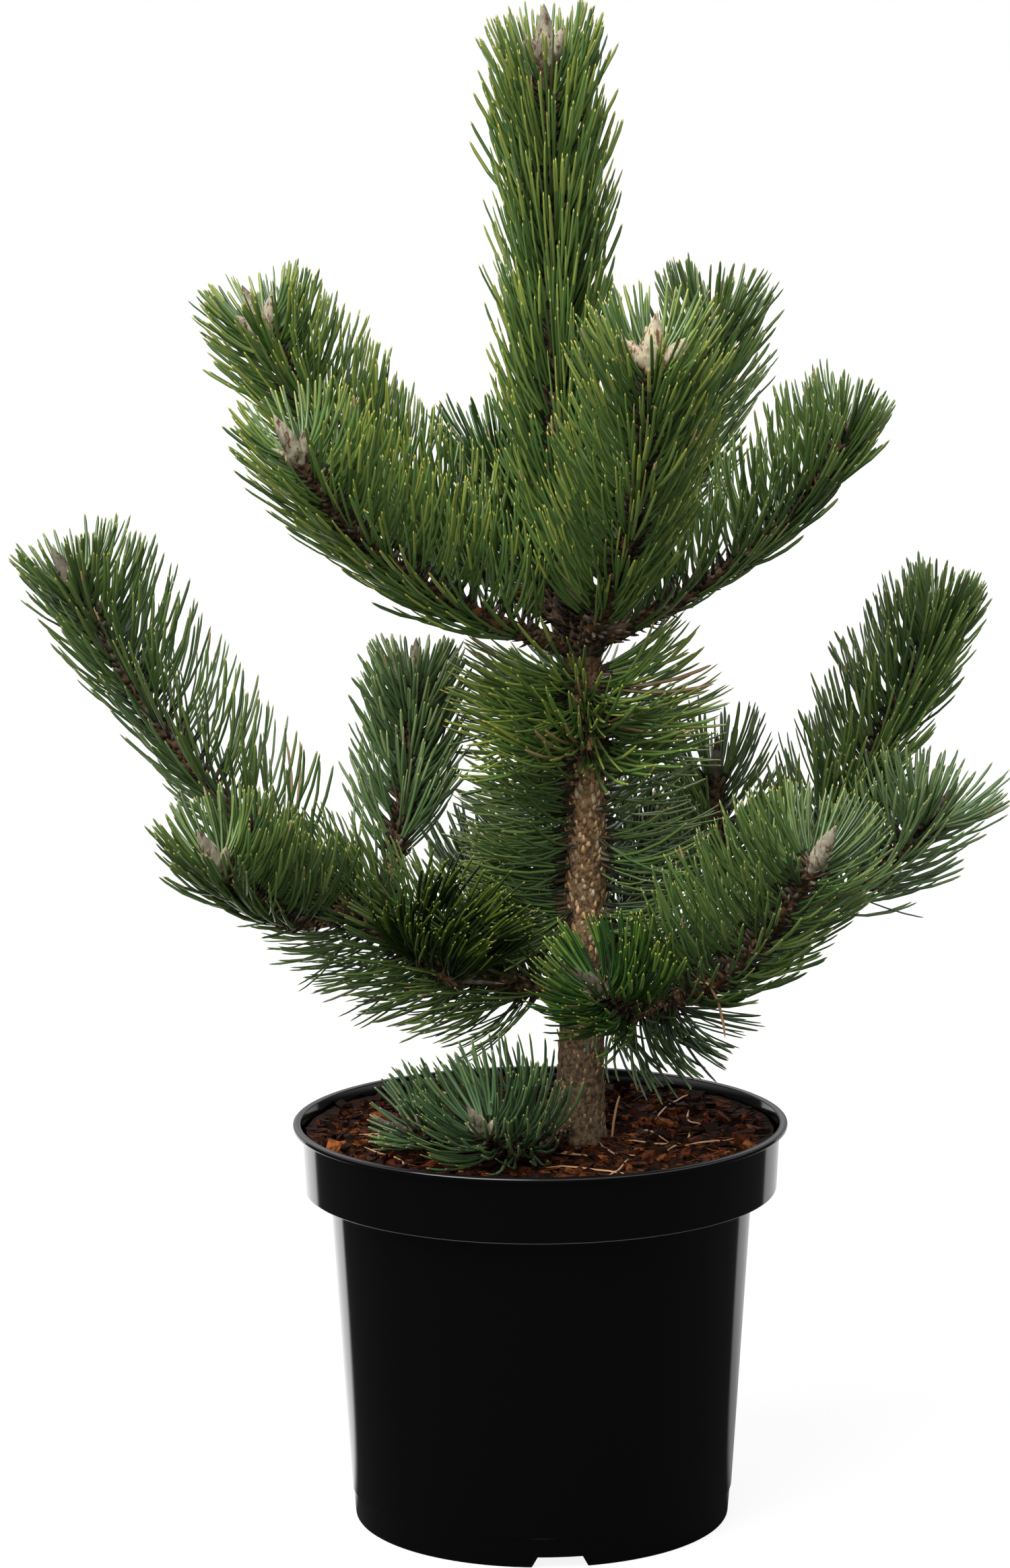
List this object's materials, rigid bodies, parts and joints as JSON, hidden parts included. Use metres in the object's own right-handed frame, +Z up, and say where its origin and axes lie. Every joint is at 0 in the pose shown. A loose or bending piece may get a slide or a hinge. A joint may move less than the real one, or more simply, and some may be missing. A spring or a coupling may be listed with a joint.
{
  "type": "potted oregon green austrian pine",
  "caption": "Young dwarf pine with two whorls of upswept boughs, long dense needles and pale buds, planted in a round black nursery pot.",
  "frame": {"origin": "centre of the pot's flat underside", "axes": "+Z up along the trunk, +X to the right of the plant as pictured, +Y to its back"},
  "size_m": [0.5694, 0.3725, 0.8502],
  "materials": {
    "pot": "smooth glossy black moulded plastic",
    "soil": "matt red-brown bark and coir chips, moist",
    "bark": "rough grey-brown scaly bark, orange-brown on the young wood",
    "needles_bright": "satin leaf, fresh yellow-green needles with yellow points",
    "needles_mid": "satin leaf, deep green needles with yellow points",
    "needles_dark": "satin leaf, dark bluish green needles"
  },
  "bodies": {
    "root": {"pot": "pot", "soil": "soil", "trunk": "bark", "upper_left_back_bough": "bark", "upper_left_front_bough": "bark", "upper_front_bough": "bark", "upper_right_back_bough": "bark", "upper_right_bough": "bark", "upper_back_bough": "bark", "lower_left_bough": "bark", "lower_left_front_bough": "bark", "lower_left_upright_bough": "bark", "lower_left_inner_bough": "bark", "lower_right_front_bough": "bark", "lower_front_bough": "bark", "lower_right_back_bough": "bark", "lower_right_bough": "bark", "lower_back_upright_bough": "bark", "lower_back_left_bough": "bark", "lower_back_right_bough": "bark", "foot_front_bough": "bark", "foot_left_bough": "bark", "upper_left_back_needles": "needles_mid", "upper_left_front_needles": "needles_bright", "upper_front_needles": "needles_bright", "upper_right_back_needles": "needles_mid", "upper_right_needles": "needles_mid", "upper_back_needles": "needles_dark", "lower_left_needles": "needles_mid", "lower_left_front_needles": "needles_bright", "lower_left_upright_needles": "needles_mid", "lower_left_inner_needles": "needles_bright", "lower_right_front_needles": "needles_bright", "lower_front_needles": "needles_mid", "lower_right_back_needles": "needles_dark", "lower_right_needles": "needles_mid", "lower_back_upright_needles": "needles_dark", "lower_back_left_needles": "needles_dark", "lower_back_right_needles": "needles_dark", "foot_front_needles": "needles_mid", "foot_left_needles": "needles_mid", "leader_needles": "needles_mid", "mid_trunk_upper_needles": "needles_mid", "mid_trunk_lower_needles": "needles_dark", "lower_left_wood_needles": "needles_dark", "lower_right_wood_needles": "needles_dark"}
  },
  "joints": []
}
